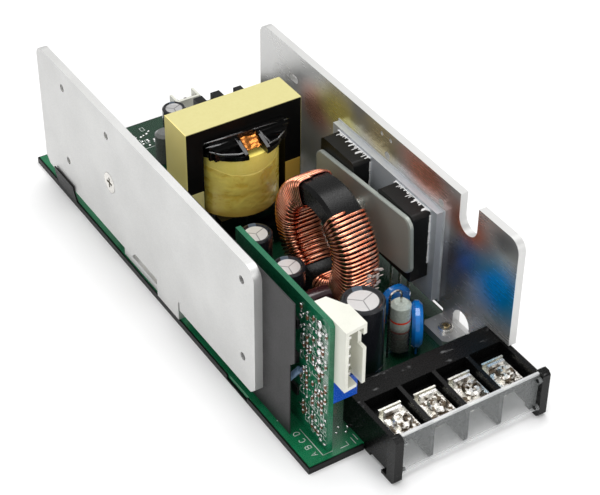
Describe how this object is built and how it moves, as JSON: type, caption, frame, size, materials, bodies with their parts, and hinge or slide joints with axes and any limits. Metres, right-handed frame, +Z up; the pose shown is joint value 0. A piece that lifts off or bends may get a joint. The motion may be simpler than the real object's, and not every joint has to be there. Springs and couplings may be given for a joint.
{
  "type": "open-frame switching power supply",
  "caption": "Open-frame switching power supply: long green board between two aluminium heatsink plates, with transformer, ring choke, control board and covered screw terminals.",
  "frame": {"origin": "centre of the main board in plan, on the plane that the tray and the terminal block rest on", "axes": "+Z up from the board, +Y along the board away from the screw terminals, +X towards the polished right plate"},
  "size_m": [0.0877, 0.231, 0.0638],
  "materials": {
    "board_green": "satin solder resist",
    "tray_black": "satin sheet",
    "solder": "bright tin",
    "plate_satin": "satin",
    "plate_polished": "smooth, reflecting",
    "screw_steel": "plated",
    "screw_yellow": "yellow zinc",
    "sheet_grey": "matt film",
    "film_grey": "soft film",
    "spreader_metal": "satin",
    "silicone_black": "satin rubber",
    "epoxy_black": "moulded",
    "lead_tin": "tinned",
    "clamp_metal": "satin",
    "ferrite": "matt ground",
    "bobbin_black": "gloss moulded",
    "winding_tape": "wrinkled tape",
    "core_tape": "smooth tape",
    "ring_black": "coated ring",
    "copper_wire": "enamelled copper",
    "base_black": "moulded",
    "can_sleeve": "shrink sleeve with bare top",
    "film_brown": "dipped",
    "disc_blue": "dipped",
    "resistor_grey": "enamelled with bands",
    "card_green": "satin solder resist",
    "chip_black": "moulded",
    "probe_sleeve": "sleeved bead",
    "connector_white": "moulded nylon",
    "trimmer_blue": "moulded",
    "terminal_black": "moulded",
    "terminal_metal": "nickel plated",
    "cover_clear": "clear moulded",
    "coil_black": "moulded bobbin",
    "capacitor_yellow": "moulded box",
    "fuse_glass": "glass with caps"
  },
  "bodies": {
    "root": {"main_board": "board_green", "insulation_tray": "tray_black", "solder_joints": "solder", "left_side_plate": "plate_satin", "right_side_plate": "plate_polished", "foot_nuts": "screw_steel", "foot_screws": "screw_yellow", "plate_screw": "screw_steel", "plate_nut": "screw_steel", "left_power_device": "epoxy_black", "side_insulating_sheet": "sheet_grey", "insulating_film": "film_grey", "heat_spreader": "spreader_metal", "device_caps": "silicone_black", "device_leads": "lead_tin", "device_clamp": "clamp_metal", "clamp_screw": "screw_steel", "transformer_core_lower": "ferrite", "transformer_core_upper": "ferrite", "transformer_bobbin": "bobbin_black", "transformer_winding": "winding_tape", "transformer_tape": "core_tape", "transformer_pins": "lead_tin", "choke_core": "ring_black", "choke_winding_front": "copper_wire", "choke_winding_rear": "copper_wire", "choke_base": "base_black", "output_capacitor": "can_sleeve", "filter_capacitors": "can_sleeve", "auxiliary_capacitor": "can_sleeve", "damping_capacitor": "can_sleeve", "bulk_capacitor": "can_sleeve", "film_capacitor": "film_brown", "disc_capacitors": "disc_blue", "power_resistor": "resistor_grey", "control_board": "card_green", "control_chips": "chip_black", "heat_probe": "probe_sleeve", "output_connector": "connector_white", "output_connector_pins": "lead_tin", "trimmer_body": "trimmer_blue", "trimmer_screw": "screw_yellow", "terminal_block": "terminal_black", "terminal_plates": "terminal_metal", "clamp_washers": "terminal_metal", "terminal_screws": "terminal_metal", "terminal_cover": "cover_clear", "line_choke_core": "ferrite", "line_choke_coils": "coil_black", "line_capacitor": "capacitor_yellow", "bridge_rectifier": "epoxy_black", "fuse": "fuse_glass", "fuse_clips": "lead_tin", "input_connector": "connector_white", "input_connector_pins": "lead_tin"}
  },
  "joints": []
}
